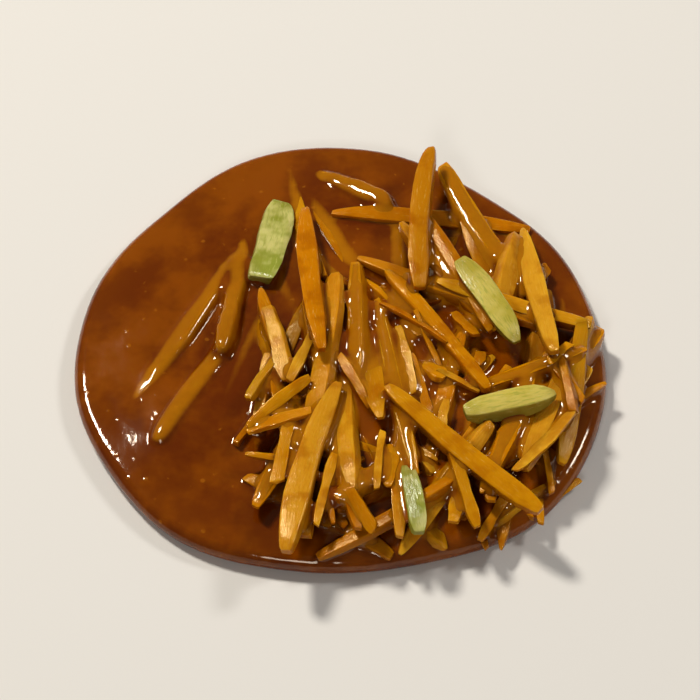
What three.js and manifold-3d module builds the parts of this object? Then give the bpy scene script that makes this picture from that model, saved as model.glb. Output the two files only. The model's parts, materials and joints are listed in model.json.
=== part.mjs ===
// Almond sohan: one round of honey brittle, dropped by the spoonful and left to set, with
// slivered almonds stirred through it and a few pistachio slivers on top.
// Millimetres, +Z up. The origin is the middle of the flat underside, and the side that is
// nearest in the usual view faces -Y.
import * as THREE from "three";
import { mergeVertices } from "three/addons/utils/BufferGeometryUtils.js";
import Module from "manifold-3d";

// ---- Driving dimensions ----------------------------------------------------------------

const brittle = {
  radius: 26.8, // mean radius of the round
  rimThickness: 2.1, // of the brittle just inside its rounded lip
  middleThickness: 3.6, // without the heap of almonds
  lipDepth: 1.1, // how far the lip bulges past the foot
  heapX: 7, // the almonds lie heaped to the right of the middle and towards the front
  heapY: -7,
  heapRadius: 22,
  heapRise: 1.5, // how much the brittle rises under them
  segments: 54,
  rings: 8,
  lipSteps: 4,
};

// Lobes of the outline: how many round the rim, how deep, and where they start, in radians.
const lobes = [
  { count: 2, depth: 0.012, phase: 0.9 },
  { count: 3, depth: 0.026, phase: 1.4 },
  { count: 5, depth: 0.012, phase: 4.0 },
  { count: 9, depth: 0.005, phase: 1.0 },
];

// Slow waves of the brittle's poured surface: height, and wave numbers along X and Y.
const swells = [
  { height: 0.26, alongX: 0.27, alongY: 0.1, phase: 0.8 },
  { height: 0.2, alongX: -0.12, alongY: 0.31, phase: 2.4 },
  { height: 0.12, alongX: 0.38, alongY: -0.33, phase: 4.1 },
];

// Almond slivers in general.
const almond = {
  shortest: 13,
  longest: 23,
  narrowest: 1.6,
  widest: 2.9,
  thinnest: 1.2,
  thickest: 1.9,
  bed: 1.25, // how deep in the brittle the lowest ones lie
  spread: 1.2, // how far headings stray from the neighbours', in radians
  loose: 0.25, // share of them that lie any which way
  tries: 14, // places tried for each, of which the lowest is taken
  overhangCost: 40, // rise in mm that a sliver avoids rather than reach a radius past the rim
  middleWithin: 0.88, // share of the way to the rim that its middle keeps within
  seed: 777,
};

// The two lots that are scattered by rule: those that were stirred in, and those of the heap.
// Each has the middle and the radius of its patch, and the share of its thickness that a
// sliver sinks into what it lies on.
const stirredIn = { count: 20, x: 8.5, y: 3, radius: 18.5, sink: 0.3 };
const heaped = { count: 42, x: 10.5, y: -8.5, radius: 17.5, sink: 0.5 };

// The almond slivers whose place is known one by one: middle, heading in degrees, length,
// width, and share of the thickness that is sunk. The first lot lies low in the brittle, and
// the second on top of all others.
const lowAlmonds = [
  { x: -16.0, y: 2.9, heading: 61, length: 21.5, width: 2.1, sink: 0.1 },
  { x: -14.6, y: -5.0, heading: 60, length: 15.0, width: 2.2, sink: 0.1 },
  { x: -11.0, y: 6.8, heading: 82, length: 16.0, width: 1.9, sink: 0.1 },
  { x: 5.5, y: 11.8, heading: 92, length: 13.0, width: 1.8, sink: 0.1 },
  { x: 6.9, y: -0.6, heading: 77, length: 10.5, width: 2.1, sink: 0.1 },
  { x: 1.2, y: 20.6, heading: -30, length: 9.5, width: 2.2, sink: 0.1 },
];
const topAlmonds = [
  { x: -6.6, y: 0.9, heading: 106, length: 11.5, width: 1.9, sink: 0.3 },
  { x: -2.7, y: 6.7, heading: 95, length: 20.5, width: 2.5, sink: 0.35 },
  { x: 8.8, y: 14.2, heading: 86, length: 18.5, width: 2.6, sink: 0.35 },
  { x: 12.2, y: -14.6, heading: -44, length: 21.0, width: 2.7, sink: 0.3 },
  { x: -2.7, y: -16.5, heading: 76, length: 21.0, width: 3.0, sink: 0.3 },
];
const knownThickness = 1.7;

// The pistachio slivers, in the same terms, and how much width is left at the narrower end.
const pistachios = [
  { x: -7.3, y: 13.4, heading: 79, length: 10.8, width: 4.0, sink: 0.25, pointed: 0.75 },
  { x: 15.0, y: 3.4, heading: -60, length: 11.5, width: 3.3, sink: 0.25, pointed: 0.3 },
  { x: 7.2, y: -20.2, heading: 98, length: 8.0, width: 2.3, sink: 0.25, pointed: 0.5 },
  { x: 17.0, y: -9.0, heading: 15, length: 9.5, width: 3.1, sink: 0.25, pointed: 0.2 },
];
const pistachioThickness = 1.9;

// Form of a sliver, as shares of its half width or half length.
const sliverForm = {
  sides: 6,
  stations: 4,
  squareness: 0.75, // 1 is an oval section, and less is squarer
  swelling: 4, // how late a sliver narrows towards its ends
  bluntEnd: 0.5, // half width left at its blunt end
  pointedEnd: 0.15, // and at its pointed end, where the most pointed
  pointedRange: 0.3, // and how much blunter that end may be
  bow: 0.035, // sideways bend, as a share of the length
};

// The height map on which the slivers come to rest.
const cell = 0.5;
const reach = 36;
const cellsAcross = Math.round((2 * reach) / cell);
const steepest = Math.tan(THREE.MathUtils.degToRad(12));
const tableGap = 0.3; // least height of a sliver above the table

const mergeWithin = 0.001; // corners closer than this are one
const shortestEdge = 0.02; // edges shorter than this are tidied away once all is fused

// ---- The brittle ------------------------------------------------------------------------

// Radius of the wavy outline, at an angle round the origin.
function outlineRadius(angle) {
  let share = 1;
  for (const lobe of lobes) {
    share += lobe.depth * Math.cos(lobe.count * angle + lobe.phase);
  }
  return brittle.radius * share;
}

// Share of the way from the middle to the outline, 0 to 1 inside.
function outwardShare(x, y) {
  return Math.hypot(x, y) / outlineRadius(Math.atan2(y, x));
}

// Height of the brittle's top surface above the underside.
function brittleLevel(x, y) {
  const out = Math.min(outwardShare(x, y), 1);
  const dish = (brittle.middleThickness - brittle.rimThickness) * (1 - out * out);
  const fromHeap = Math.hypot(x - brittle.heapX, y - brittle.heapY) / brittle.heapRadius;
  const bell = fromHeap < 1 ? (1 - fromHeap ** 2) ** 2 : 0;
  let swell = 0;
  for (const wave of swells) {
    swell += wave.height * Math.sin(wave.alongX * x + wave.alongY * y + wave.phase);
  }
  return brittle.rimThickness + dish + brittle.heapRise * bell + swell * (1 - out ** 4);
}

// Half profile of a plain round, from the middle of the underside over the lip to the middle
// of the top: x is the radius, and y the share of the level, 0 to 1.
function roundProfile() {
  const lipStart = brittle.radius - brittle.lipDepth;
  const points = [new THREE.Vector2(0, 0), new THREE.Vector2(lipStart / 2, 0)];
  for (let step = 0; step <= brittle.lipSteps; step += 1) {
    const turn = -Math.PI / 2 + (Math.PI * step) / brittle.lipSteps;
    const radius = lipStart + brittle.lipDepth * Math.cos(turn);
    points.push(new THREE.Vector2(radius, (1 + Math.sin(turn)) / 2));
  }
  for (let ring = brittle.rings - 1; ring >= 0; ring -= 1) {
    points.push(new THREE.Vector2((lipStart * ring) / brittle.rings, 1));
  }
  return points;
}

// The lathed round, pushed out to the wavy outline and up to the poured surface.
function brittleGeometry() {
  const geometry = new THREE.LatheGeometry(roundProfile(), brittle.segments);
  geometry.rotateX(Math.PI / 2); // the lathe's axis is Y, and the part's is Z
  const place = geometry.getAttribute("position");
  for (let i = 0; i < place.count; i += 1) {
    const stretch = outlineRadius(Math.atan2(place.getY(i), place.getX(i))) / brittle.radius;
    const x = place.getX(i) * stretch;
    const y = place.getY(i) * stretch;
    place.setXYZ(i, x, y, place.getZ(i) * brittleLevel(x, y));
  }
  return geometry;
}

// ---- Slivers ------------------------------------------------------------------------------

// Half width along a sliver, as a share: t runs from -1, the pointed end, to 1, the blunt one.
function taper(t, pointed) {
  const end = t < 0 ? pointed : sliverForm.bluntEnd;
  return 1 - (1 - end) * Math.abs(t) ** sliverForm.swelling;
}

// A split nut: a squared oval section that narrows towards both ends, and bows a little
// sideways. The stations stand closer towards the ends.
function sliverGeometry(sliver) {
  const { sides, stations, squareness } = sliverForm;
  const geometry = new THREE.CylinderGeometry(1, 1, 2, sides, stations);
  const place = geometry.getAttribute("position");
  const squared = (value) => Math.sign(value) * Math.abs(value) ** squareness;
  for (let i = 0; i < place.count; i += 1) {
    const station = place.getY(i);
    const along = Math.sign(station) * (1 - (1 - Math.abs(station)) ** 2);
    const share = taper(along, sliver.pointed);
    const bow = sliver.bow * sliver.length * (1 - along * along);
    place.setXYZ(
      i,
      (along * sliver.length) / 2,
      (squared(place.getZ(i)) * share * sliver.width) / 2 + bow,
      (squared(place.getX(i)) * share * sliver.thickness) / 2,
    );
  }
  if (sliver.flip) geometry.rotateZ(Math.PI);
  geometry.rotateX(sliver.roll);
  geometry.rotateY(-Math.atan(sliver.slope));
  geometry.rotateZ(sliver.heading);
  geometry.translate(sliver.x, sliver.y, sliver.z);
  return geometry;
}

// ---- How the slivers lie --------------------------------------------------------------------

let randomState = almond.seed;

// The next of a fixed run of numbers from 0 to 1.
function random() {
  randomState = (randomState * 48271) % 2147483647;
  return randomState / 2147483647;
}

function cellOf(value) {
  return Math.min(cellsAcross - 1, Math.max(0, Math.floor((value + reach) / cell)));
}

// Height map of the bed in the brittle on which the first slivers lie, row by row. Outside
// the outline it is the table.
function bedHeights() {
  const heights = new Float64Array(cellsAcross * cellsAcross);
  for (let row = 0; row < cellsAcross; row += 1) {
    for (let column = 0; column < cellsAcross; column += 1) {
      const x = (column + 0.5) * cell - reach;
      const y = (row + 0.5) * cell - reach;
      if (outwardShare(x, y) > 1) continue;
      heights[row * cellsAcross + column] = brittleLevel(x, y) - almond.bed;
    }
  }
  return heights;
}

// The line on which a straight sliver rests: it touches the highest spots on both sides of
// its middle. Returns the height under the middle and the slope.
function restOn(heights, x, y, heading, length) {
  const steps = 6;
  const along = [];
  for (let step = -steps; step <= steps; step += 1) {
    const s = (step * length * 0.45) / steps;
    const column = cellOf(x + s * Math.cos(heading));
    const row = cellOf(y + s * Math.sin(heading));
    along.push({ s, height: heights[row * cellsAcross + column] });
  }
  let best = { height: along[steps].height, slope: 0 };
  for (const left of along.slice(0, steps)) {
    for (const right of along.slice(steps + 1)) {
      const slope = (right.height - left.height) / (right.s - left.s);
      const height = left.height - slope * left.s;
      if (height > best.height && Math.abs(slope) < steepest) best = { height, slope };
    }
  }
  return best;
}

// Raises the height map to the top of a sliver that has come to rest.
function stamp(heights, sliver) {
  const step = cell * 0.8;
  for (let s = -sliver.length / 2; s <= sliver.length / 2; s += step) {
    const share = taper((2 * s) / sliver.length, sliver.pointed);
    for (let w = -sliver.width / 2; w <= sliver.width / 2; w += step) {
      if (Math.abs(w) > (share * sliver.width) / 2) continue;
      const x = sliver.x + s * Math.cos(sliver.heading) - w * Math.sin(sliver.heading);
      const y = sliver.y + s * Math.sin(sliver.heading) + w * Math.cos(sliver.heading);
      const top = sliver.z + s * sliver.slope + (share * sliver.thickness) / 2;
      const index = cellOf(y) * cellsAcross + cellOf(x);
      if (top > heights[index]) heights[index] = top;
    }
  }
}

// Lays a sliver down where it is, sunk a little into what it lies on, but clear of the table.
function settle(heights, sliver, sink) {
  const { x, y, heading, length, width, thickness, roll } = sliver;
  const rest = restOn(heights, x, y, heading, length);
  const halfDepth = Math.hypot(width * Math.sin(roll), thickness * Math.cos(roll)) / 2;
  const droop = (Math.abs(rest.slope) * length) / 2;
  const z = Math.max(rest.height + thickness * (0.5 - sink), tableGap + halfDepth + droop);
  const laid = { ...sliver, slope: rest.slope, z };
  stamp(heights, laid);
  return laid;
}

// Heading that neighbouring slivers share, as they were dragged along by the spoon.
function drift(x, y) {
  return 1.5 + 0.5 * Math.sin(0.13 * x + 0.6) + 0.45 * Math.cos(0.15 * y - 0.4);
}

// How far a sliver's ends and its middle reach past where they should stay, added up, as a
// share of the radius.
function overhang(x, y, heading, length) {
  let past = Math.max(0, outwardShare(x, y) - almond.middleWithin);
  for (const end of [-0.5, 0.5]) {
    const tipX = x + end * length * Math.cos(heading);
    const tipY = y + end * length * Math.sin(heading);
    past += Math.max(0, outwardShare(tipX, tipY) - 1);
  }
  return past;
}

// One almond sliver of drawn size, put where its patch is lowest among a few drawn places.
function scatteredAlmond(heights, lot) {
  const length = almond.shortest + (almond.longest - almond.shortest) * random();
  const width = almond.narrowest + (almond.widest - almond.narrowest) * random();
  const thickness = almond.thinnest + (almond.thickest - almond.thinnest) * random();
  const shape = { length, width, thickness, ...drawnForm(0.9) };
  const spread = random() < almond.loose ? Math.PI : almond.spread;
  let best = null;
  for (let n = 0; n < almond.tries; n += 1) {
    const away = lot.radius * Math.sqrt(random());
    const round = 2 * Math.PI * random();
    const x = lot.x + away * Math.cos(round);
    const y = lot.y + away * Math.sin(round);
    const heading = drift(x, y) + spread * (random() + random() - 1);
    const level = restOn(heights, x, y, heading, length).height;
    const cost = level + almond.overhangCost * overhang(x, y, heading, length);
    if (!best || cost < best.cost) best = { x, y, heading, cost };
  }
  return settle(heights, { ...shape, x: best.x, y: best.y, heading: best.heading }, lot.sink);
}

// The small unevenness of a sliver's form. The roll is drawn within the range given.
function drawnForm(rollRange) {
  return {
    roll: rollRange * (random() - 0.5),
    bow: sliverForm.bow * (2 * random() - 1),
    pointed: sliverForm.pointedEnd + sliverForm.pointedRange * random(),
    flip: random() < 0.5,
  };
}

// A sliver whose place is known.
function knownSliver(heights, known, thickness) {
  const heading = THREE.MathUtils.degToRad(known.heading);
  return settle(heights, { ...drawnForm(0.4), ...known, heading, thickness }, known.sink);
}

// All slivers in the order in which they come to lie.
function layOut() {
  const heights = bedHeights();
  const laid = [];
  const layKnown = (lot, thickness) => {
    for (const known of lot) laid.push(knownSliver(heights, known, thickness));
  };
  const scatter = (lot) => {
    for (let n = 0; n < lot.count; n += 1) laid.push(scatteredAlmond(heights, lot));
  };
  layKnown(lowAlmonds, knownThickness);
  scatter(stirredIn);
  scatter(heaped);
  layKnown(topAlmonds, knownThickness);
  layKnown(pistachios, pistachioThickness);
  return laid;
}

// ---- Joining --------------------------------------------------------------------------------

const wasm = await Module();
wasm.setup();

function toSolid(geometry) {
  const bare = geometry.clone();
  bare.deleteAttribute("normal");
  bare.deleteAttribute("uv");
  const merged = mergeVertices(bare, mergeWithin);
  return new wasm.Manifold(
    new wasm.Mesh({
      numProp: 3,
      vertProperties: merged.getAttribute("position").array,
      triVerts: new Uint32Array(merged.index.array),
    }),
  );
}

function toGeometry(solid) {
  const mesh = solid.getMesh();
  const geometry = new THREE.BufferGeometry();
  geometry.setAttribute("position", new THREE.BufferAttribute(mesh.vertProperties, mesh.numProp));
  geometry.setIndex(new THREE.BufferAttribute(mesh.triVerts, 1));
  geometry.computeVertexNormals();
  return geometry;
}

// The outer skin of a solid, without edges too short to see, and without the small hollows
// that the slivers shut in between them.
function outerSkin(solid) {
  const skins = solid.asOriginal().simplify(shortestEdge).decompose();
  return skins.reduce((a, b) => (b.volume() > a.volume() ? b : a));
}

// The brittle with every sliver fused on.
function sohanGeometry() {
  let solid = toSolid(brittleGeometry());
  for (const sliver of layOut()) solid = solid.add(toSolid(sliverGeometry(sliver)));
  return toGeometry(outerSkin(solid));
}

// ---- The part ---------------------------------------------------------------------------------

const honeyBrittle = new THREE.MeshStandardMaterial({
  color: 0x8a4f12,
  roughness: 0.18,
  metalness: 0,
});

const sohan = new THREE.Mesh(sohanGeometry(), honeyBrittle);
sohan.name = "sohan";

const part = new THREE.Group();
part.add(sohan);
export default part;
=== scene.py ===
import json
import math

import bmesh
import bpy
import numpy as np
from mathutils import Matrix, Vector, noise
from mathutils.bvhtree import BVHTree

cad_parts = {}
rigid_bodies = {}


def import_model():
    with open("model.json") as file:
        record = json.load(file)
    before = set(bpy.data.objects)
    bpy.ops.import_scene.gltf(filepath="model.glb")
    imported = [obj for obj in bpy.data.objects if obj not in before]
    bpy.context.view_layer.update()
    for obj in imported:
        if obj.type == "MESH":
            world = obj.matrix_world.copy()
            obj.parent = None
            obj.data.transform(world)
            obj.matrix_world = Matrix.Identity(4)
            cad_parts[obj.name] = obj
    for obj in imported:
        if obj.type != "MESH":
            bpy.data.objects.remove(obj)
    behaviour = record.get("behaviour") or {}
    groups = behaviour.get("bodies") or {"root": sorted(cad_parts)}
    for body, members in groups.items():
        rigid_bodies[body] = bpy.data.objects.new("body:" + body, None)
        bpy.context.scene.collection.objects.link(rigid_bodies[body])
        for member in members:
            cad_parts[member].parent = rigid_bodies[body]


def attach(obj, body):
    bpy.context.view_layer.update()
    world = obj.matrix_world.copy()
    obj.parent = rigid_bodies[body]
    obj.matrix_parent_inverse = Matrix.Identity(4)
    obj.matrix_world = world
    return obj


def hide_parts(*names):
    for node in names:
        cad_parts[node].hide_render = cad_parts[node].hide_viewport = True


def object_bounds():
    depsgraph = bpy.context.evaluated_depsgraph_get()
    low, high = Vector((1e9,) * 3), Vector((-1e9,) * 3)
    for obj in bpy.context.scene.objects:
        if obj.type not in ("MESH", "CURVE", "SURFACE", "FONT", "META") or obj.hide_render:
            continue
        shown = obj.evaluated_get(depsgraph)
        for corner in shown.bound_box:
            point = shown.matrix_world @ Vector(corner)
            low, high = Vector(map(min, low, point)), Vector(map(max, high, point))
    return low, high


# One round of almond sohan: honey caramel with slivered almonds and a few pistachio slivers.
# Metres, +Z up, the origin in the middle of the flat underside. The slivers are dealt out by
# the part's own rule, so each of them lies where the part has it.
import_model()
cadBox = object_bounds()
print("frame loaded, box", [tuple(round(v, 4) for v in corner) for corner in cadBox])

mm = 0.001

# The camera comes first. It looks down on the round as the photograph does.
cameraView = {
    "elevation": 53.9,  # degrees above the table
    "distance": 0.46,
    "target": (0.001, -0.0005, 0.0035),
    "frameWidth": 0.071,  # width of the view at the target
    "sensorWidth": 36.0,  # in millimetres
    "nearest": 0.01,
}


def addCamera():
    view = cameraView
    rise = math.radians(view["elevation"])
    target = Vector(view["target"])
    away = Vector((0, -math.cos(rise), math.sin(rise))) * view["distance"]
    bpy.ops.object.camera_add(location=target + away)
    camera = bpy.context.object
    camera.name = "mainCamera"
    camera.rotation_euler = (-away).to_track_quat("-Z", "Y").to_euler()
    camera.data.sensor_width = view["sensorWidth"]
    camera.data.lens = view["sensorWidth"] * view["distance"] / view["frameWidth"]
    camera.data.clip_start = view["nearest"]
    bpy.context.scene.camera = camera


addCamera()
print("camera added")

# The poured caramel and how it is shaped. All lengths in millimetres.
caramelForm = {
    "radius": 26.8,
    "rimThickness": 2.1,
    "middleThickness": 3.6,
    "lipDepth": 1.1,
    "heapX": 7,  # where the almonds are heaped, and how far the caramel rises there
    "heapY": -7,
    "heapRadius": 22,
    "heapRise": 1.5,
    # lobes round the outline: count, depth and phase
    "lobes": [(2, 0.012, 0.9), (3, 0.026, 1.4), (5, 0.012, 4.0), (9, 0.005, 1.0)],
    # slow waves of the top: height, wave numbers along X and Y, and phase
    "swells": [(0.26, 0.27, 0.1, 0.8), (0.2, -0.12, 0.31, 2.4), (0.12, 0.38, -0.33, 4.1)],
}


def outlineRadius(angle):
    share = 1
    for count, depth, phase in caramelForm["lobes"]:
        share += depth * math.cos(count * angle + phase)
    return caramelForm["radius"] * share


def outwardShare(x, y):
    return math.hypot(x, y) / outlineRadius(math.atan2(y, x))


def caramelLevel(x, y):
    form = caramelForm
    out = min(outwardShare(x, y), 1)
    dish = (form["middleThickness"] - form["rimThickness"]) * (1 - out * out)
    fromHeap = math.hypot(x - form["heapX"], y - form["heapY"]) / form["heapRadius"]
    bell = (1 - fromHeap**2) ** 2 if fromHeap < 1 else 0
    swell = 0
    for height, alongX, alongY, phase in form["swells"]:
        swell += height * math.sin(alongX * x + alongY * y + phase)
    return form["rimThickness"] + dish + form["heapRise"] * bell + swell * (1 - out**4)


# How the slivers are dealt out. Lengths in millimetres, angles in radians.
dealing = {
    "tries": 14,  # places tried for each, of which the lowest is taken
    "length": (13, 23),
    "width": (1.6, 2.9),
    "thickness": (1.2, 1.9),
    "bed": 1.25,  # how deep in the caramel the lowest ones lie
    "spread": 1.2,
    "loose": 0.25,  # share of them that lie any which way
    "overhangCost": 40,
    "middleWithin": 0.88,
    "bow": 0.035,
    "swelling": 4,  # how late a sliver narrows towards its ends
    "pointedEnd": 0.15,  # share of the width left at the pointed end of the most pointed
    "pointedRange": 0.3,  # and how much blunter that end may be
    "bluntEnd": 0.5,
    "steepest": math.tan(math.radians(12)),
    "tableGap": 0.3,
    "scatteredRoll": 0.9,  # how far they may roll onto a side
    "placedRoll": 0.4,
    # the main heading, and how it turns along X and Y: depth, waves and phase
    "heading": 1.5,
    "turnAlongX": (0.5, 0.13, 0.6),
    "turnAlongY": (0.45, 0.15, -0.4),
    "cell": 0.5,  # size of the cells of the height map
    "reach": 36,  # and how far it goes from the middle
    "feelers": 6,  # points on each half of a sliver that feel what is under it
    "feltShare": 0.45,  # share of its length that they reach either way
    "stampStep": 0.8,  # in cells
    "seed": 777,
    "multiplier": 48271,  # of the random draws, with their modulus
    "modulus": 2147483647,
}

# Lots that are scattered by rule: how many, the middle and radius of their patch, and the
# share of its thickness that each sinks into what it lies on.
stirredIn = {"lot": "stirred", "count": 20, "patch": (8.5, 3, 18.5), "sink": 0.3}
heaped = {"lot": "heaped", "count": 42, "patch": (10.5, -8.5, 17.5), "sink": 0.5}

# Slivers whose place is known: middle, heading in degrees, length, width and share sunk.
lowAlmonds = [
    (-16.0, 2.9, 61, 21.5, 2.1, 0.1),
    (-14.6, -5.0, 60, 15.0, 2.2, 0.1),
    (-11.0, 6.8, 82, 16.0, 1.9, 0.1),
    (5.5, 11.8, 92, 13.0, 1.8, 0.1),
    (6.9, -0.6, 77, 10.5, 2.1, 0.1),
    (1.2, 20.6, -30, 9.5, 2.2, 0.1),
]
topAlmonds = [
    (-6.6, 0.9, 106, 11.5, 1.9, 0.3),
    (-2.7, 6.7, 95, 20.5, 2.5, 0.35),
    (8.8, 14.2, 86, 18.5, 2.6, 0.35),
    (12.2, -14.6, -44, 21.0, 2.7, 0.3),
    (-2.7, -16.5, 76, 21.0, 3.0, 0.3),
]
topPistachios = [  # with the share of the width left at the narrower end
    (-7.3, 13.4, 79, 10.8, 4.0, 0.25, 0.75),
    (15.0, 3.4, -60, 11.5, 3.3, 0.25, 0.3),
    (7.2, -20.2, 98, 8.0, 2.3, 0.25, 0.5),
    (17.0, -9.0, 15, 9.5, 3.1, 0.25, 0.2),
]
knownThickness = {"almond": 1.7, "pistachio": 1.9}

# Chips that broke off while the almonds were stirred in. They fall between the slivers.
chips = {
    "lot": "chip",
    "count": 100,
    "length": (1.8, 9.5),
    "width": (0.7, 1.8),
    "thickness": (0.45, 1.1),
    "patch": (8, -8, 16),
    "sink": 0.45,
    "blunter": 0.4,  # how much more of the width is left at the narrower end
    "room": 0.5,  # left free round each pistachio
    "feltAt": (-0.5, -0.25, 0, 0.25, 0.5),  # where along a chip that room is looked for
}


def taper(t, pointed):
    end = pointed if t < 0 else dealing["bluntEnd"]
    return 1 - (1 - end) * abs(t) ** dealing["swelling"]


def mainHeading(x, y):
    depthX, wavesX, phaseX = dealing["turnAlongX"]
    depthY, wavesY, phaseY = dealing["turnAlongY"]
    turnX = depthX * math.sin(wavesX * x + phaseX)
    turnY = depthY * math.cos(wavesY * y + phaseY)
    return dealing["heading"] + turnX + turnY


class Dealer:
    # lays slivers one by one on a height map, and remembers where they came to rest
    def __init__(self):
        self.state = dealing["seed"]
        self.cell = dealing["cell"]
        self.reach = dealing["reach"]
        self.across = round(2 * self.reach / self.cell)
        self.heights = [0.0] * self.across**2
        for row in range(self.across):
            for column in range(self.across):
                x = (column + 0.5) * self.cell - self.reach
                y = (row + 0.5) * self.cell - self.reach
                if outwardShare(x, y) <= 1:
                    level = caramelLevel(x, y) - dealing["bed"]
                    self.heights[row * self.across + column] = level
        self.laid = []

    def draw(self):
        self.state = self.state * dealing["multiplier"] % dealing["modulus"]
        return self.state / dealing["modulus"]

    def between(self, limits):
        return limits[0] + (limits[1] - limits[0]) * self.draw()

    def cellAt(self, x, y):
        column = min(self.across - 1, max(0, math.floor((x + self.reach) / self.cell)))
        row = min(self.across - 1, max(0, math.floor((y + self.reach) / self.cell)))
        return row * self.across + column

    # height and slope of the lowest line over what lies under a sliver
    def restOn(self, x, y, heading, length):
        steps = dealing["feelers"]
        felt = []
        for step in range(-steps, steps + 1):
            along = (step * length * dealing["feltShare"]) / steps
            here = self.cellAt(x + along * math.cos(heading), y + along * math.sin(heading))
            felt.append((along, self.heights[here]))
        bestHeight, bestSlope = felt[steps][1], 0
        for left, leftHeight in felt[:steps]:
            for right, rightHeight in felt[steps + 1 :]:
                slope = (rightHeight - leftHeight) / (right - left)
                height = leftHeight - slope * left
                if height > bestHeight and abs(slope) < dealing["steepest"]:
                    bestHeight, bestSlope = height, slope
        return bestHeight, bestSlope

    def stamp(self, sliver):
        step = self.cell * dealing["stampStep"]
        cosine, sine = math.cos(sliver["heading"]), math.sin(sliver["heading"])
        along = -sliver["length"] / 2
        while along <= sliver["length"] / 2:
            share = taper(2 * along / sliver["length"], sliver["pointed"])
            top = sliver["z"] + along * sliver["slope"] + share * sliver["thickness"] / 2
            aside = -sliver["width"] / 2
            while aside <= sliver["width"] / 2:
                if abs(aside) <= share * sliver["width"] / 2:
                    x = sliver["x"] + along * cosine - aside * sine
                    y = sliver["y"] + along * sine + aside * cosine
                    here = self.cellAt(x, y)
                    self.heights[here] = max(self.heights[here], top)
                aside += step
            along += step

    def settle(self, sliver, sink):
        height, slope = self.restOn(sliver["x"], sliver["y"], sliver["heading"], sliver["length"])
        fromWidth = sliver["width"] * math.sin(sliver["roll"])
        fromThickness = sliver["thickness"] * math.cos(sliver["roll"])
        halfDepth = math.hypot(fromWidth, fromThickness) / 2
        droop = abs(slope) * sliver["length"] / 2
        resting = height + sliver["thickness"] * (0.5 - sink)
        sliver["slope"] = slope
        sliver["z"] = max(resting, dealing["tableGap"] + halfDepth + droop)
        self.stamp(sliver)
        self.laid.append(sliver)

    def form(self, roll):
        return {
            "roll": roll * (self.draw() - 0.5),
            "bow": dealing["bow"] * (2 * self.draw() - 1),
            "pointed": dealing["pointedEnd"] + dealing["pointedRange"] * self.draw(),
            "flip": self.draw() < 0.5,
        }

    def scatter(self, lot, sizes=dealing):
        length = self.between(sizes["length"])
        width = self.between(sizes["width"])
        thickness = self.between(sizes["thickness"])
        sliver = {"kind": "almond", "length": length, "width": width, "thickness": thickness}
        sliver["lot"] = lot["lot"]
        sliver.update(self.form(dealing["scatteredRoll"]))
        sliver["pointed"] += sizes.get("blunter", 0)
        middleX, middleY, patchRadius = lot["patch"]
        spread = math.pi if self.draw() < dealing["loose"] else dealing["spread"]
        best = None
        for _ in range(dealing["tries"]):
            away = patchRadius * math.sqrt(self.draw())
            turn = 2 * math.pi * self.draw()
            x = middleX + away * math.cos(turn)
            y = middleY + away * math.sin(turn)
            heading = mainHeading(x, y) + spread * (self.draw() + self.draw() - 1)
            past = max(0, outwardShare(x, y) - dealing["middleWithin"])
            for end in (-0.5, 0.5):
                tipX = x + end * length * math.cos(heading)
                tipY = y + end * length * math.sin(heading)
                past += max(0, outwardShare(tipX, tipY) - 1)
            cost = self.restOn(x, y, heading, length)[0] + dealing["overhangCost"] * past
            if best is None or cost < best[0]:
                best = (cost, x, y, heading)
        sliver["x"], sliver["y"], sliver["heading"] = best[1:]
        self.settle(sliver, lot["sink"])

    def place(self, kind, lot, known):
        x, y, heading, length, width, sink, *pointed = known
        sliver = {"kind": kind, "lot": lot, "length": length, "width": width, "x": x, "y": y}
        sliver["thickness"] = knownThickness[kind]
        sliver["heading"] = math.radians(heading)
        sliver.update(self.form(dealing["placedRoll"]))
        if pointed:
            sliver["pointed"] = pointed[0]
        self.settle(sliver, sink)


# Whether a chip lies against another sliver.
def touches(chip, other):
    cosine, sine = math.cos(other["heading"]), math.sin(other["heading"])
    for share in chips["feltAt"]:
        offX = chip["x"] + share * chip["length"] * math.cos(chip["heading"]) - other["x"]
        offY = chip["y"] + share * chip["length"] * math.sin(chip["heading"]) - other["y"]
        past = abs(offX * cosine + offY * sine) - other["length"] / 2
        beside = abs(offY * cosine - offX * sine) - other["width"] / 2
        if max(past, beside) < chips["room"]:
            return True
    return False


def dealSlivers():
    dealer = Dealer()
    for known in lowAlmonds:
        dealer.place("almond", "low", known)
    for lot in (stirredIn, heaped):
        for _ in range(lot["count"]):
            dealer.scatter(lot)
    for known in topAlmonds:
        dealer.place("almond", "top", known)
    for known in topPistachios:
        dealer.place("pistachio", "top", known)
    for _ in range(chips["count"]):
        dealer.scatter(chips, chips)
    # chips that fell against a pistachio are taken off again
    greens = [sliver for sliver in dealer.laid if sliver["kind"] == "pistachio"]
    kept = []
    for sliver in dealer.laid:
        if sliver["lot"] != "chip" or not any(touches(sliver, green) for green in greens):
            kept.append(sliver)
    return kept


slivers = dealSlivers()
print("slivers dealt:", len(slivers), "highest", round(max(s["z"] for s in slivers), 2), "mm")


# Small helpers for pieces.
def deselectAll():
    if bpy.context.object and bpy.context.object.mode != "OBJECT":
        bpy.ops.object.mode_set(mode="OBJECT")
    bpy.ops.object.select_all(action="DESELECT")


def selectOnly(piece):
    deselectAll()
    piece.select_set(True)
    bpy.context.view_layer.objects.active = piece


def applyModifier(piece, kind, values):
    selectOnly(piece)
    modifier = piece.modifiers.new(kind.title(), kind)
    for name, value in values.items():
        setattr(modifier, name, value)
    bpy.ops.object.modifier_apply(modifier=modifier.name)


def pointsOf(piece):
    points = np.empty(len(piece.data.vertices) * 3)
    piece.data.vertices.foreach_get("co", points)
    return points.reshape(-1, 3)


def setPoints(piece, points):
    piece.data.vertices.foreach_set("co", np.asarray(points).ravel())
    piece.data.update()


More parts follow.
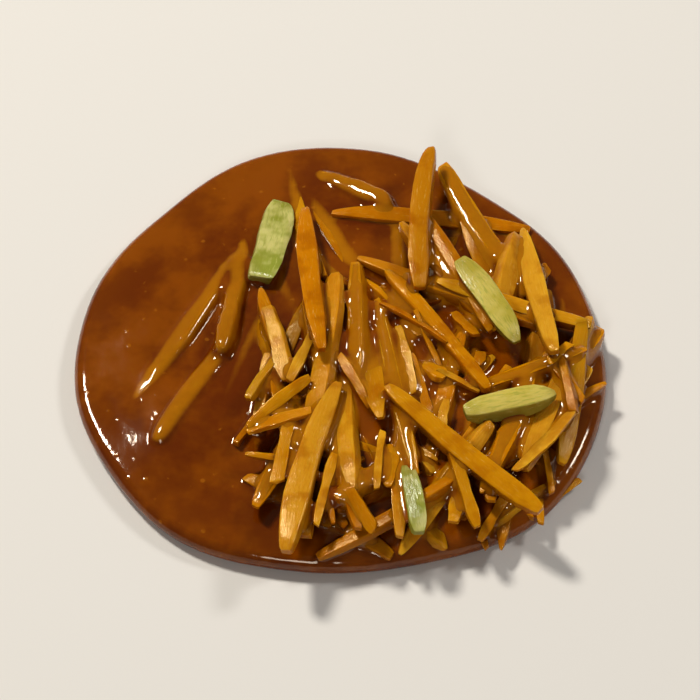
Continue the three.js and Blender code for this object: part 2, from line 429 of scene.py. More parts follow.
# Evens out values from point to neighbouring point.
def evened(piece, values, rounds, keep=0.4):
    values = np.asarray(values, dtype=float)
    edges = np.empty(len(piece.data.edges) * 2, dtype=np.int32)
    piece.data.edges.foreach_get("vertices", edges)
    one, other = edges.reshape(-1, 2).T
    size = len(values)
    count = np.bincount(one, minlength=size) + np.bincount(other, minlength=size)
    for _ in range(rounds):
        total = np.bincount(one, values[other], size) + np.bincount(other, values[one], size)
        values = keep * values + (1 - keep) * total / np.maximum(count, 1)
    return values


def storeAttribute(piece, name, values):
    layer = piece.data.attributes.new(name, "FLOAT", "POINT")
    layer.data.foreach_set("value", np.asarray(values, dtype=np.float32))


def treeOf(piece):
    shape = bmesh.new()
    shape.from_mesh(piece.data)
    tree = BVHTree.FromBMesh(shape)
    shape.free()
    return tree


# Form of one sliver: knife-cut, with flat faces, softened edges and blunt ends. Shares are of
# its half width, half thickness or half length.
sliverForm = {
    "stations": [-1, -0.97, -0.9, -0.78, -0.6, -0.38, -0.13, 0.13, 0.38, 0.6, 0.78, 0.9, 0.97, 1],
    "cornerSteps": 4,  # points on each rounded edge
    # rounding of the long edges, from least to most
    "corner": {"almond": (0.06, 0.28), "pistachio": (0.05, 0.2), "chip": (0.04, 0.2)},
    "width": 0.8,  # of the dealt width, because this section is squarer than the part's
    "thickness": 0.87,
    "endInset": {"almond": 0.82, "pistachio": 0.9, "chip": 0.92},  # rounding of the ends
    "slant": {"almond": 0.6, "pistachio": 0.35, "chip": 1.0},  # how askew the ends are cut
    "slantOnset": 8,  # how late along the sliver that starts
    "crown": 0.18,  # how much the face that was under the nut's skin is domed
    "lean": 0.25,  # how far the section leans over
    "twist": 0.35,  # radians from end to end, at most
    "wobble": {"almond": 0.08, "pistachio": 0.03, "chip": 0.12},  # unevenness of the width
    "widthWaves": [(1, 3.1), (0.6, 7.3)],  # height and waves of that unevenness
    "depthWaves": [(1, 4.7), (0.5, 9.1)],  # and of the thickness
    "depthShare": 0.5,  # how uneven the thickness is, against the width
    "nicks": 0.018,
    "arch": 0.012,  # upward bend, as a share of the length
    "wedge": 0.22,  # how much thinner one end is
    "smoothBelow": 38,  # degrees, past which an edge between faces stays sharp
    "seed": 900,
    "tintStep": 0.61803,  # spreads the tints evenly from sliver to sliver
    "grainStep": 31,  # so that no two show the same grain
}


def cutSection(chance, sort):
    form = sliverForm
    points = []
    for sideY, sideZ in ((1, 1), (-1, 1), (-1, -1), (1, -1)):
        rounding = chance.uniform(*form["corner"][sort])
        start = math.atan2(sideZ, sideY) - math.pi / 4
        for step in range(form["cornerSteps"]):
            turn = start + step * math.pi / 2 / (form["cornerSteps"] - 1)
            y = sideY * (1 - rounding) + rounding * math.cos(turn)
            z = sideZ * (1 - rounding) + rounding * math.sin(turn)
            points.append((y, z))
    section = np.array(points)
    section[:, 0] += form["lean"] * chance.uniform(-1, 1) * section[:, 1]
    domed = section[:, 1] > 0
    section[domed, 1] *= 1 - form["crown"] * np.minimum(section[domed, 0] ** 2, 1)
    return section * (form["width"], form["thickness"])


def unevenness(t, waves, phases):
    total = 0
    for (height, count), phase in zip(waves, phases):
        total += height * math.sin(count * t + phase)
    return total


# Points of one sliver in millimetres, ring by ring, with a middle point at each end.
def sliverPoints(sliver, number, grow=0.0):
    form = sliverForm
    chance = np.random.default_rng(form["seed"] + number)
    sort = "chip" if sliver["lot"] == "chip" else sliver["kind"]
    section = cutSection(chance, sort)
    twist = form["twist"] * chance.uniform(-0.5, 0.5)
    arch = form["arch"] * chance.uniform(-1, 1) * sliver["length"]
    wedge = form["wedge"] * chance.uniform(-1, 1)
    phases = chance.uniform(0, 2 * math.pi, 4)
    slant = form["slant"][sort] * chance.uniform(-1, 1, 2)
    nicks = chance.normal(0, form["nicks"], (len(form["stations"]), len(section)))
    rings = []
    for index, t in enumerate(form["stations"]):
        share = taper(t, sliver["pointed"])
        if abs(t) == 1:
            share *= form["endInset"][sort]
        wobble = unevenness(t, form["widthWaves"], phases[:2])
        uneven = unevenness(t, form["depthWaves"], phases[2:])
        halfWidth = share * (1 + form["wobble"][sort] * wobble) * sliver["width"] / 2
        swelling = form["depthShare"] * form["wobble"][sort] * uneven
        halfThick = share * (1 + swelling - wedge * abs(t + 1) / 2) * sliver["thickness"] / 2
        rough = 1 + nicks[index]
        y = section[:, 0] * rough * halfWidth + grow * np.sign(section[:, 0])
        z = section[:, 1] * rough * halfThick + grow * np.sign(section[:, 1])
        x = np.full(len(section), t * (sliver["length"] / 2 + grow))
        x = x - abs(t) ** form["slantOnset"] * slant[int(t > 0)] * y
        turn = twist * t
        bow = sliver["bow"] * sliver["length"] * (1 - t * t)
        lift = arch * (1 - t * t)
        ring = [x, y * math.cos(turn) - z * math.sin(turn) + bow]
        ring.append(y * math.sin(turn) + z * math.cos(turn) + lift)
        rings.append(np.stack(ring, axis=1))
    limit = sliver["length"] / 2 + grow
    points = np.concatenate([rings[0].mean(0)[None], *rings, rings[-1].mean(0)[None]])
    points[:, 0] = np.clip(points[:, 0], -limit, limit)
    return points


# Turns a sliver's own points to where it lies: about X, then Y, then Z.
def laySliver(points, sliver):
    points = points.copy()
    if sliver["flip"]:
        points[:, :2] *= -1
    turns = (sliver["roll"], -math.atan(sliver["slope"]), sliver["heading"])
    for angle, (first, second) in zip(turns, ((1, 2), (2, 0), (0, 1))):
        before, after = points[:, first].copy(), points[:, second].copy()
        points[:, first] = before * math.cos(angle) - after * math.sin(angle)
        points[:, second] = before * math.sin(angle) + after * math.cos(angle)
    return points + np.array([sliver["x"], sliver["y"], sliver["z"]])


# Faces of one sliver: quads between rings, triangles at the two ends.
def sliverFaces():
    sides, count = 4 * sliverForm["cornerSteps"], len(sliverForm["stations"])
    faces = []
    for ring in range(count - 1):
        for side in range(sides):
            here = 1 + ring * sides + side
            ahead = 1 + ring * sides + (side + 1) % sides
            faces.append((here, ahead, ahead + sides, here + sides))
    last = count * sides + 1
    for side in range(sides):
        ahead = (side + 1) % sides
        faces.append((0, 1 + ahead, 1 + side))
        faces.append((last, last - sides + side, last - sides + ahead))
    return faces


# One mesh of many slivers, in metres, with a number from 0 to 1 for each as its tint.
def joinedSlivers(name, chosen, grow=0.0, scale=(1.0, 1.0)):
    pattern = sliverFaces()
    points, faces, tints, uvs = [], [], [], []
    start = 0
    for number, sliver in chosen:
        sized = dict(sliver)
        sized["width"] *= scale[0]
        sized["thickness"] *= scale[1]
        own = sliverPoints(sized, number, grow)
        points.append(laySliver(own, sized))
        faces += [tuple(index + start for index in face) for face in pattern]
        tints.append(np.full(len(own), (number * sliverForm["tintStep"]) % 1))
        along = own[:, 0] + sliverForm["grainStep"] * number
        uvs.append(np.stack([along, np.arctan2(own[:, 2], own[:, 1])], axis=1))
        start += len(own)
    mesh = bpy.data.meshes.new(name)
    mesh.from_pydata((np.concatenate(points) * mm).tolist(), [], faces)
    piece = bpy.data.objects.new(name, mesh)
    bpy.context.collection.objects.link(piece)
    layer = mesh.uv_layers.new(name="alongSliver")
    corners = np.empty(len(mesh.loops), dtype=np.int32)
    mesh.loops.foreach_get("vertex_index", corners)
    layer.data.foreach_set("uv", np.concatenate(uvs)[corners].ravel())
    storeAttribute(piece, "tint", np.concatenate(tints))
    return piece


# Nothing reaches past the box of the part.
def keepInside(piece):
    low, high = np.array(cadBox)
    setPoints(piece, np.clip(pointsOf(piece), low, high))


def pick(*lots):
    return [pair for pair in enumerate(slivers) if pair[1]["lot"] in lots]


almonds = [pair for pair in enumerate(slivers) if pair[1]["kind"] == "almond"]
pistachios = [pair for pair in enumerate(slivers) if pair[1]["kind"] == "pistachio"]

# How the caramel is poured over and between the slivers. Lengths in millimetres.
pouring = {
    "rim": 128,  # points round the rim
    "rimRounding": 0.49,  # share of the thickness that is rounded at the rim, above and below
    "rimSteps": 5,
    "levelWithin": 0.1,  # how much the two ends of a rim edge may differ in height
    "rings": 12,
    "voxel": 0.36,
    "smoothing": {"factor": 0.5, "iterations": 14},
    "lowGlaze": 0.2,  # how thick it lies on the lowest slivers
    "heapGlaze": 0.11,  # and on those of the heap that it covers
    "glazedShare": 0.2,  # share of the heap that it covers
    "glazedStep": 0.7549,  # spreads those evenly through the heap
    "core": (0.95, 0.9),  # width and thickness of the caramel behind the others' surfaces
    "greenCore": (0.75, 0.6),  # and behind the pistachios'
    "bare": (0.12, 0.4),  # nearer than this to the surface as poured, it goes back onto it
    "ripples": [(0.035, 0.16), (0.02, 0.45)],  # height, and waves for each millimetre
    "still": 0.3,  # nothing below this height ripples
}


# A plain round with a rounded rim and rings of faces on top.
def castRound():
    deselectAll()
    radius, thick = caramelForm["radius"] * mm, caramelForm["rimThickness"] * mm
    bpy.ops.mesh.primitive_cylinder_add(
        vertices=pouring["rim"], radius=radius, depth=thick, location=(0, 0, thick / 2)
    )
    piece = bpy.context.object
    piece.name = "caramel"
    bpy.ops.object.transform_apply(location=True, rotation=True, scale=True)
    bpy.ops.object.mode_set(mode="EDIT")
    bpy.ops.mesh.select_all(action="DESELECT")
    bpy.ops.mesh.select_mode(type="EDGE")
    shape = bmesh.from_edit_mesh(piece.data)
    for edge in shape.edges:
        one, other = edge.verts
        edge.select_set(abs(one.co.z - other.co.z) < pouring["levelWithin"] * mm)
    bmesh.update_edit_mesh(piece.data)
    bpy.ops.mesh.bevel(offset=thick * pouring["rimRounding"], segments=pouring["rimSteps"])
    bpy.ops.mesh.select_all(action="DESELECT")
    bpy.ops.mesh.select_mode(type="FACE")
    shape = bmesh.from_edit_mesh(piece.data)
    top = max(shape.faces, key=lambda face: face.calc_center_median().z)
    top.select_set(True)
    bmesh.update_edit_mesh(piece.data)
    step = (caramelForm["radius"] - caramelForm["lipDepth"]) * mm / (pouring["rings"] + 0.5)
    for _ in range(pouring["rings"]):
        bpy.ops.mesh.inset(thickness=step, depth=0)
    bpy.ops.mesh.poke()
    bpy.ops.object.mode_set(mode="OBJECT")
    return piece


# Gives that round the outline and the level of the real one.
def shapeRound(piece):
    points = pointsOf(piece) / mm
    for point in points:
        stretch = outlineRadius(math.atan2(point[1], point[0])) / caramelForm["radius"]
        point[0] *= stretch
        point[1] *= stretch
        point[2] *= caramelLevel(point[0], point[1]) / caramelForm["rimThickness"]
    setPoints(piece, points * mm)


# The caramel holds a core in each sliver, so that it climbs up round them without a gap.
def pourCaramel():
    piece = castRound()
    shapeRound(piece)
    poured = treeOf(piece)
    share, step = pouring["glazedShare"], pouring["glazedStep"]
    glazed = [pair for pair in pick("stirred", "heaped") if pair[0] * step % 1 < share]
    others = glazed + pistachios
    proud = [pair for pair in pick("stirred", "heaped", "top", "chip") if pair not in others]
    parts = [
        joinedSlivers("proudCores", proud, 0.0, pouring["core"]),
        joinedSlivers("greenCores", pistachios, 0.0, pouring["greenCore"]),
        joinedSlivers("glazedCores", glazed, pouring["heapGlaze"]),
        joinedSlivers("lowCores", pick("low"), pouring["lowGlaze"]),
    ]
    deselectAll()
    for part in (*parts, piece):
        part.select_set(True)
    bpy.context.view_layer.objects.active = piece
    bpy.ops.object.join()
    voxels = {"mode": "VOXEL", "voxel_size": pouring["voxel"] * mm, "adaptivity": 0}
    applyModifier(piece, "REMESH", voxels)
    applyModifier(piece, "SMOOTH", pouring["smoothing"])
    keepLargestShell(piece)
    settleCaramel(piece, poured)
    for name in [a.name for a in piece.data.attributes if a.name in ("tint", "alongSliver")]:
        piece.data.attributes.remove(piece.data.attributes[name])
    return piece


# Brings the open caramel back onto the surface as poured, then lets it ripple a little.
def settleCaramel(piece, poured):
    nearest, furthest = pouring["bare"]
    points = pointsOf(piece)
    normals = np.empty(len(points) * 3)
    piece.data.vertices.foreach_get("normal", normals)
    normals = normals.reshape(-1, 3)
    for index, point in enumerate(points):
        place, _, _, gap = poured.find_nearest(Vector(point))
        held = min(1, max(0, (furthest - gap / mm) / (furthest - nearest)))
        point += (np.array(place) - point) * held
        if point[2] > pouring["still"] * mm:
            for height, waves in pouring["ripples"]:
                swell = noise.noise(Vector(point / mm) * waves)
                point += normals[index] * swell * height * mm
    points[:, 2] = np.maximum(points[:, 2], 0)
    setPoints(piece, points)


# Deletes the small shells that a remesh leaves inside. The lowest point is on the outer one.
def keepLargestShell(piece):
    selectOnly(piece)
    bpy.ops.object.mode_set(mode="EDIT")
    bpy.ops.mesh.select_mode(type="VERT")
    bpy.ops.mesh.select_all(action="DESELECT")
    shape = bmesh.from_edit_mesh(piece.data)
    min(shape.verts, key=lambda vert: vert.co.z).select_set(True)
    bmesh.update_edit_mesh(piece.data)
    bpy.ops.mesh.select_linked()
    bpy.ops.mesh.select_all(action="INVERT")
    bpy.ops.mesh.delete(type="VERT")
    bpy.ops.object.mode_set(mode="OBJECT")


caramel = pourCaramel()
print("caramel poured:", len(caramel.data.polygons), "faces")

almondPiece = joinedSlivers("almondSlivers", almonds)
pistachioPiece = joinedSlivers("pistachioSlivers", pistachios)
for piece in (caramel, almondPiece, pistachioPiece):
    keepInside(piece)
almondFaces, pistachioFaces = len(almondPiece.data.polygons), len(pistachioPiece.data.polygons)
print("slivers made:", almondFaces, "and", pistachioFaces, "faces")


# Attributes that the materials read: how deep a sliver lies under the glaze, how thick the
# caramel is, how near a sliver's surface is to the caramel, how squarely it faces up, from which
# the nuts' sides get painted shade, and how shut in a place is, from which the crevices get
# painted shade and, on the nuts, the colour of caramel pooled there. Lengths in millimetres.
measuring = {
    "outside": 0.3,  # how far outside the caramel the rays towards the slivers start
    "deepest": 1.2,  # how deep below it a sliver still shows
    "inside": 0.02,  # how far inside the rays through the caramel start
    "thickest": 6,
    "widestGap": 4,
    "clear": 0.08,  # how far off the surface the rays into the open start
    "shadeReach": 5,
    "feelers": 8,
    "feelerRise": 1.1,
    "farthestCounts": 0.4,  # what the farthest thing counts, where the nearest counts 1
}


def measureCaramel(piece, nutTree):
    ownTree = treeOf(piece)
    outside, deepest = measuring["outside"], measuring["deepest"]
    inside, thickest = measuring["inside"], measuring["thickest"]
    under, thick = [], []
    for vertex in piece.data.vertices:
        inward = -vertex.normal
        start = vertex.co - inward * outside * mm
        gap = nutTree.ray_cast(start, inward, (outside + deepest) * mm)[3]
        under.append(deepest if gap is None else min(deepest, max(0, gap / mm - outside)))
        start = vertex.co + inward * inside * mm
        gap = ownTree.ray_cast(start, inward, thickest * mm)[3]
        thick.append(thickest if gap is None else gap / mm)
    storeAttribute(piece, "nutDepth", evened(piece, under, rounds=3))
    storeAttribute(piece, "thickness", evened(piece, thick, rounds=6))


def measureNuts(piece, caramelTree):
    widest = measuring["widestGap"]
    gaps = []
    for vertex in piece.data.vertices:
        gap = caramelTree.find_nearest(vertex.co, widest * mm)[3]
        gaps.append(widest if gap is None else gap / mm)
    storeAttribute(piece, "caramelGap", gaps)


# How squarely each point faces up, from -1 to 1. The nuts' sides are painted darker from it:
# painted shade.
def measureUpward(piece):
    storeAttribute(piece, "upward", [vertex.normal.z for vertex in piece.data.vertices])


# How shut in each point is by the slivers above and round it. The materials paint shade from it,
# and on the nuts also caramel pooled in the crevices.
def measureShadeAndPool(piece, nutTree):
    reach = measuring["shadeReach"] * mm
    feelers = [Vector((0, 0, 1))]
    for turn in range(measuring["feelers"]):
        angle = turn * 2 * math.pi / measuring["feelers"]
        feeler = Vector((math.cos(angle), math.sin(angle), measuring["feelerRise"]))
        feelers.append(feeler.normalized())
    shut = []
    for vertex in piece.data.vertices:
        start = vertex.co + vertex.normal * measuring["clear"] * mm
        blocked = 0.0
        for feeler in feelers:
            gap = nutTree.ray_cast(start, feeler, reach)[3]
            if gap is not None:
                blocked += 1 - (1 - measuring["farthestCounts"]) * gap / reach
        shut.append(blocked / len(feelers))
    storeAttribute(piece, "shut", evened(piece, shut, rounds=3))


nutTree = treeOf(almondPiece)
caramelTree = treeOf(caramel)
measureCaramel(caramel, nutTree)
for piece in (almondPiece, pistachioPiece):
    measureNuts(piece, caramelTree)
    measureUpward(piece)
for piece in (caramel, almondPiece, pistachioPiece):
    measureShadeAndPool(piece, nutTree)
print("attributes measured")


# Links or sets the sockets of a node.
def feed(node, values):
    for name, value in values.items():
        if isinstance(value, Wire):
            value.tree.links.new(value.socket, node.inputs[name])
        else:
            node.inputs[name].default_value = value


# A socket of a material's nodes, so that shader maths reads as plain expressions.
class Wire:
    def __init__(self, tree, socket=None):
        self.tree = tree
        self.socket = socket

    def node(self, kind, settings=None, inputs=None, output=0):
        made = self.tree.nodes.new(kind)
        for name, value in (settings or {}).items():
            if name == "stops":
                while len(made.color_ramp.elements) < len(value):
                    made.color_ramp.elements.new(0.5)
                for element, (place, colour) in zip(made.color_ramp.elements, value):
                    element.position = place
                    element.color = (*colour, 1)
            else:
                setattr(made, name, value)
        feed(made, inputs or {})
        return Wire(self.tree, made.outputs[output])

    def maths(self, operation, first, second=0.0):
        return self.node("ShaderNodeMath", {"operation": operation}, {0: first, 1: second})

    def __add__(self, other):
        return self.maths("ADD", self, other)

    def __radd__(self, other):
        return self.maths("ADD", other, self)

    def __rsub__(self, other):
        return self.maths("SUBTRACT", other, self)

    def __mul__(self, other):
        return self.maths("MULTIPLY", self, other)

    def __rmul__(self, other):
        return self.maths("MULTIPLY", other, self)

    # 0 below low, 1 above high, and a smooth rise between
    def rise(self, low, high):
        return self.node(
            "ShaderNodeMapRange",
            {"interpolation_type": "SMOOTHSTEP"},
            {"Value": self, "From Min": low, "From Max": high},
        )

    # colour that goes from low to high as this value goes from 0 to 1
    def tone(self, low, high):
        low = low if isinstance(low, Wire) else (*low, 1)
        high = high if isinstance(high, Wire) else (*high, 1)
        # a Mix node's colour sockets share their names with others, so they go by number
        return self.node("ShaderNodeMix", {"data_type": "RGBA"}, {0: self, 6: low, 7: high}, 2)

    def attribute(self, name):
        return self.node("ShaderNodeAttribute", {"attribute_name": name}, output="Fac")

    def grain(self, place, scale, detail, roughness):
        values = {"Vector": place, "Scale": scale, "Detail": detail, "Roughness": roughness}
        return self.node("ShaderNodeTexNoise", {}, values)


def startMaterial(name):
    material = bpy.data.materials.new(name)
    material.use_nodes = True
    return material, Wire(material.node_tree), material.node_tree.nodes["Principled BSDF"]


def srgb(red, green, blue):
    def linear(value):
        value /= 255
        return value / 12.92 if value <= 0.04045 else ((value + 0.055) / 1.055) ** 2.4

    return linear(red), linear(green), linear(blue)


# Each look has its colours, its patterns (scale, detail and roughness), from where to where
# each colour comes in, and how much of it there is.
caramelLook = {
    "deep": srgb(101, 39, 0),
    "amber": srgb(137, 67, 0),
    "thin": srgb(152, 80, 0),
    "overNut": srgb(184, 116, 4),
    "bubble": srgb(176, 104, 14),
    # painted shade: darker caramel in the crevices between the slivers
    "shut": srgb(76, 22, 0),
    "clouds": (120, 4, 0.6),
    "fine": (900, 3, 0.6),
    "bubbleScale": 620,
    "bubbleEdge": (0.08, 0.2),
    "bubblesFrom": (0.5, 0.6),
    "amberFrom": (0.38, 0.64),
    "thinFrom": (0.8, 3.2),  # millimetres of caramel
    "overNutFrom": (0.02, 0.55),  # millimetres of glaze
    "shadeAndPoolFrom": (0.15, 0.8),
    "thinShare": 0.6,
    "bubbleShare": 0.5,
    "overNutShare": 0.65,
    "overNutMottle": 0.4,
    "shadeAndPoolShare": 0.7,
    "roughness": 0.06,
    "dullness": 0.08,  # how much rougher the densest clouds are
    "dullFrom": (0.5, 0.75),
    "relief": (0.25, 0.5),  # of the fine grain and the bubbles, where the clouds have 1
}


def caramelMaterial():
    look = caramelLook
    material, wire, shader = startMaterial("honeyCaramel")
    place = wire.node("ShaderNodeTexCoord", output="Object")
    cloud = wire.grain(place, *look["clouds"])
    fine = wire.grain(place, *look["fine"])
    cells = wire.node("ShaderNodeTexVoronoi", {}, {"Vector": place, "Scale": look["bubbleScale"]})
    bubbles = (1 - cells.rise(*look["bubbleEdge"])) * fine.rise(*look["bubblesFrom"])
    thin = 1 - wire.attribute("thickness").rise(*look["thinFrom"])
    over = 1 - wire.attribute("nutDepth").rise(*look["overNutFrom"])
    mottled = look["overNutShare"] + look["overNutMottle"] * fine
    shut = wire.attribute("shut").rise(*look["shadeAndPoolFrom"])
    body = cloud.rise(*look["amberFrom"]).tone(look["deep"], look["amber"])
    body = (thin * look["thinShare"]).tone(body, look["thin"])
    body = (bubbles * look["bubbleShare"]).tone(body, look["bubble"])
    body = (over * mottled).tone(body, look["overNut"])
    # painted shade in the crevices between the slivers
    body = (shut * look["shadeAndPoolShare"]).tone(body, look["shut"])
    dull = cloud.rise(*look["dullFrom"])
    height = cloud + look["relief"][0] * fine + look["relief"][1] * bubbles
    bump = {"Strength": 0.1, "Distance": 0.0004, "Height": height}
    feed(
        shader,
        {
            "Base Color": body,
            "Roughness": look["roughness"] + look["dullness"] * dull,
            "Normal": wire.node("ShaderNodeBump", {}, bump),
            "IOR": 1.49,
            "Specular Tint": (1.0, 0.88, 0.72, 1),
            "Subsurface Weight": 0.2,
            "Subsurface Radius": (1.0, 0.4, 0.12),
            "Subsurface Scale": 0.0018,
        },
    )
    return material


# What the two sorts of nut share: grain that runs along each sliver, patches where the glaze
# took, a fine grain, and the sides, which are painted darker: painted shade, and on the almonds
# also glaze that runs down off the top faces.
nutGrain = {
    "stretch": (0.35, 2.2, 1),
    "fibre": (4, 0.6),  # detail and roughness
    "patch": (3, 0.55),
    "fine": (1400, 3, 0.6),
    "shadedSideFrom": (0.1, 0.75),
    "patchFrom": (0.4, 0.6),
}


def addNutGrain(wire, look):
    place = wire.node("ShaderNodeTexCoord", output="Object")
    along = wire.node("ShaderNodeUVMap", {"uv_map": "alongSliver"})
    mapping = {"Vector": along, "Scale": nutGrain["stretch"]}
    stretched = wire.node("ShaderNodeMapping", {}, mapping)
    fibre = wire.grain(stretched, look["fibreScale"], *nutGrain["fibre"])
    patch = wire.grain(place, look["patchScale"], *nutGrain["patch"])
    fine = wire.grain(place, *nutGrain["fine"])
    # the less a point faces up, the darker it is painted: painted shade on the sides
    side = 1 - wire.attribute("upward").rise(*nutGrain["shadedSideFrom"])
    return fibre, patch, fine, side


# Nuts shine most where the glaze took.
def nutRoughness(look, patch, fine):
    dull, shine, uneven = look["roughness"]
    return dull - shine * patch.rise(*nutGrain["patchFrom"]) + uneven * fine


almondLook = {
    "shades": [  # from sliver to sliver
        (0.0, srgb(206, 132, 0)),
        (0.22, srgb(236, 169, 14)),
        (0.45, srgb(246, 189, 46)),
        (0.62, srgb(224, 141, 0)),
        (0.8, srgb(240, 164, 4)),
        (1.0, srgb(200, 148, 16)),
    ],
    "toasted": srgb(202, 120, 0),
    "pale": srgb(255, 214, 104),
    "glazed": srgb(168, 90, 0),
    # painted shade on the sides, partly glaze run down off the top faces
    "side": srgb(150, 76, 0),
    # painted shade in the crevices, partly caramel pooled there
    "shut": srgb(98, 37, 0),
    "fibreScale": 2.2,
    "patchScale": 300,
    "toastingStep": 7.3,  # spreads how toasted they are from sliver to sliver
    "darkFrom": (0.6, 0.95),
    "toastedFrom": (0.45, 0.75),
    "paleFrom": (0.55, 0.75),
    "glazedFrom": (0.46, 0.62),
    "wetWithin": (0.0, 0.8),  # millimetres from the caramel
    "shadeAndPoolFrom": (0.2, 0.8),
    "darkShare": 0.55,
    "toastedShare": 0.3,
    "paleShare": 0.45,
    "glazedShare": 0.25,
    "glazedOnToasted": 0.5,
    "shadedSideShare": 0.35,
    "shadedAndGlazedSideMottle": 0.3,
    "wetShare": 0.5,
    "shadeAndPoolShare": 0.8,
    "roughness": (0.19, 0.12, 0.05),  # of the bare nut, less in the glaze, more in the fine grain
    "relief": (0.3, 0.22),  # of the fibre and the fine grain, where the patches have 1
}


def almondMaterial():
    look = almondLook
    material, wire, shader = startMaterial("glazedAlmond")
    fibre, patch, fine, side = addNutGrain(wire, look)
    tint = wire.attribute("tint")
    toasting = wire.maths("FRACT", tint * look["toastingStep"])
    wet = 1 - wire.attribute("caramelGap").rise(*look["wetWithin"])
    shut = wire.attribute("shut").rise(*look["shadeAndPoolFrom"])
    mottled = look["glazedShare"] + look["glazedOnToasted"] * toasting
    body = wire.node("ShaderNodeValToRGB", {"stops": look["shades"]}, {"Fac": tint})
    body = (toasting.rise(*look["darkFrom"]) * look["darkShare"]).tone(body, look["glazed"])
    body = (fibre.rise(*look["toastedFrom"]) * look["toastedShare"]).tone(body, look["toasted"])
    body = ((1 - fibre).rise(*look["paleFrom"]) * look["paleShare"]).tone(body, look["pale"])
    body = (patch.rise(*look["glazedFrom"]) * mottled).tone(body, look["glazed"])
    # sides painted darker: painted shade, partly glaze run down off the top faces
    body = (side * (look["shadedSideShare"] + look["shadedAndGlazedSideMottle"] * patch)).tone(body, look["side"])
    body = (wet * look["wetShare"]).tone(body, look["glazed"])
    # painted shade in the crevices, partly caramel pooled there
    body = (shut * look["shadeAndPoolShare"]).tone(body, look["shut"])
    height = look["relief"][0] * fibre + look["relief"][1] * fine + patch
    bump = {"Strength": 0.45, "Distance": 0.0003, "Height": height}
    feed(
        shader,
        {
            "Base Color": body,
            "Roughness": nutRoughness(look, patch, fine),
            "Normal": wire.node("ShaderNodeBump", {}, bump),
            "IOR": 1.45,
            "Specular IOR Level": 0.35,
            "Specular Tint": (1.0, 0.74, 0.36, 1),
            "Subsurface Weight": 0.3,
            "Subsurface Radius": (1.0, 0.6, 0.2),
            "Subsurface Scale": 0.0012,
        },
    )
    return material


pistachioLook = {
    "pale": srgb(222, 218, 132),
    "green": srgb(152, 162, 60),
    # painted shade on the sides
    "side": srgb(114, 114, 8),
    "yellow": srgb(220, 194, 76),
    "glazed": srgb(132, 104, 8),
    "fibreScale": 2.0,
    "patchScale": 260,
    "greenFrom": (0.42, 0.6),
    "yellowFrom": (0.4, 0.8),
    "streakFrom": (0.48, 0.66),
    "paleFrom": (0.54, 0.7),
    "wetWithin": (0.0, 0.9),  # millimetres from the caramel
    "shadeAndPoolFrom": (0.1, 0.8),
    "yellowShare": 0.7,
    "shadedSideShare": 0.7,
    "streakShare": 0.55,
    "paleShare": 0.4,
    "wetShare": 0.6,
    "shadeAndPoolShare": 0.6,
    "roughness": (0.24, 0.14, 0.05),
    "relief": 0.4,  # of the fine grain, where the fibre has 1
}


def pistachioMaterial():
    look = pistachioLook
    material, wire, shader = startMaterial("pistachio")
    fibre, patch, fine, side = addNutGrain(wire, look)
    tint = wire.attribute("tint")
    wet = 1 - wire.attribute("caramelGap").rise(*look["wetWithin"])
    shut = wire.attribute("shut").rise(*look["shadeAndPoolFrom"])
    body = patch.rise(*look["greenFrom"]).tone(look["pale"], look["green"])
    body = (tint.rise(*look["yellowFrom"]) * look["yellowShare"]).tone(body, look["yellow"])
    # sides painted darker: painted shade
    body = (side * look["shadedSideShare"]).tone(body, look["side"])
    body = (fibre.rise(*look["streakFrom"]) * look["streakShare"]).tone(body, look["green"])
    body = ((1 - fibre).rise(*look["paleFrom"]) * look["paleShare"]).tone(body, look["pale"])
    body = (wet * look["wetShare"]).tone(body, look["glazed"])
    # painted shade in the crevices, in the colour of pooled glaze
    body = (shut * look["shadeAndPoolShare"]).tone(body, look["glazed"])
    bump = {"Strength": 0.35, "Distance": 0.0003, "Height": fibre + look["relief"] * fine}
    feed(
        shader,
        {
            "Base Color": body,
            "Roughness": nutRoughness(look, patch, fine),
            "Normal": wire.node("ShaderNodeBump", {}, bump),
            "IOR": 1.45,
            "Specular IOR Level": 0.42,
            "Subsurface Weight": 0.25,
            "Subsurface Radius": (0.8, 1.0, 0.3),
            "Subsurface Scale": 0.0012,
        },
    )
    return material


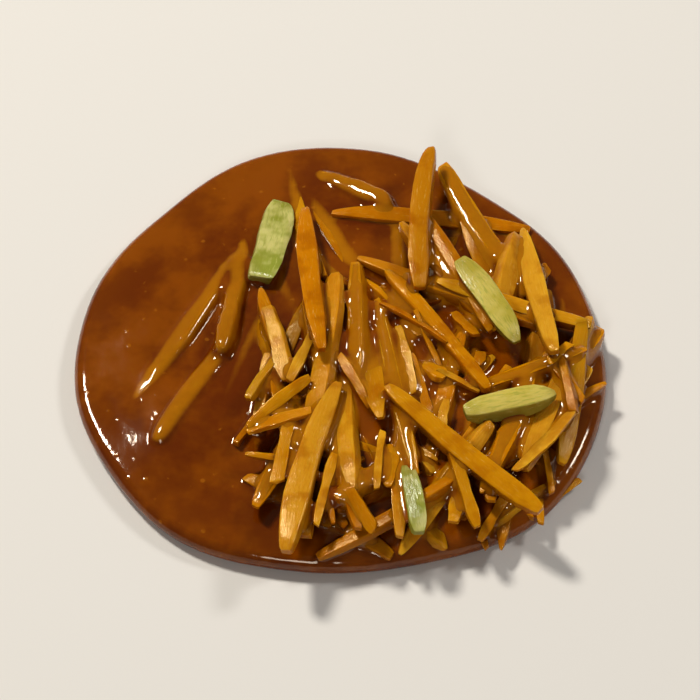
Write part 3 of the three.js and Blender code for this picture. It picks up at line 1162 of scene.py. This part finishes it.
def dress(piece, material, smoothBelow=None):
    piece.data.materials.clear()
    piece.data.materials.append(material)
    selectOnly(piece)
    if smoothBelow is None:
        bpy.ops.object.shade_smooth()
    else:
        bpy.ops.object.shade_smooth_by_angle(angle=math.radians(smoothBelow))


dress(caramel, caramelMaterial())
dress(almondPiece, almondMaterial(), sliverForm["smoothBelow"])
dress(pistachioPiece, pistachioMaterial(), sliverForm["smoothBelow"])
print("materials made")

stageLook = {
    "floor": srgb(236, 233, 228),
    "floorRoughness": 0.7,
    "size": 1.6,
    "drop": 0.05,  # millimetres below the underside
    "room": (1, 0.93, 0.84),  # light from all round
    "roomStrength": 0.1,
}


def addStage():
    look = stageLook
    deselectAll()
    bpy.ops.mesh.primitive_plane_add(size=look["size"], location=(0, 0, -look["drop"] * mm))
    floor = bpy.context.object
    floor.name = "floor"
    material, _, shader = startMaterial("paleFloor")
    feed(shader, {"Base Color": (*look["floor"], 1), "Roughness": look["floorRoughness"]})
    floor.data.materials.append(material)


# Soft lamps: name, place, size, power in watts and colour.
lamps = [
    ("backLeft", (-0.3, 0.32, 0.55), 0.12, 3.7, (1.0, 0.95, 0.86)),
    ("right", (0.5, 0.22, 0.5), 0.14, 1.4, (1.0, 0.98, 0.95)),
    ("front", (-0.12, -0.6, 0.5), 0.2, 1.0, (1.0, 0.98, 0.95)),
]


def addLamps():
    for name, place, size, power, colour in lamps:
        bpy.ops.object.light_add(type="AREA", location=place)
        lamp = bpy.context.object
        lamp.name = name
        lamp.rotation_euler = (-Vector(place)).to_track_quat("-Z", "Y").to_euler()
        lamp.data.shape = "DISK"
        lamp.data.size = size
        lamp.data.energy = power
        lamp.data.color = colour
    world = bpy.data.worlds.new("softRoom")
    world.use_nodes = True
    room = {"Color": (*stageLook["room"], 1), "Strength": stageLook["roomStrength"]}
    feed(world.node_tree.nodes["Background"], room)
    bpy.context.scene.world = world
    bpy.context.scene.view_settings.view_transform = "Standard"


addStage()
addLamps()
print("stage and lamps set")

for piece, slotName in (
    (caramel, "caramel"),
    (almondPiece, "almond"),
    (pistachioPiece, "pistachio"),
):
    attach(piece, "root")
    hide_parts("sohan")
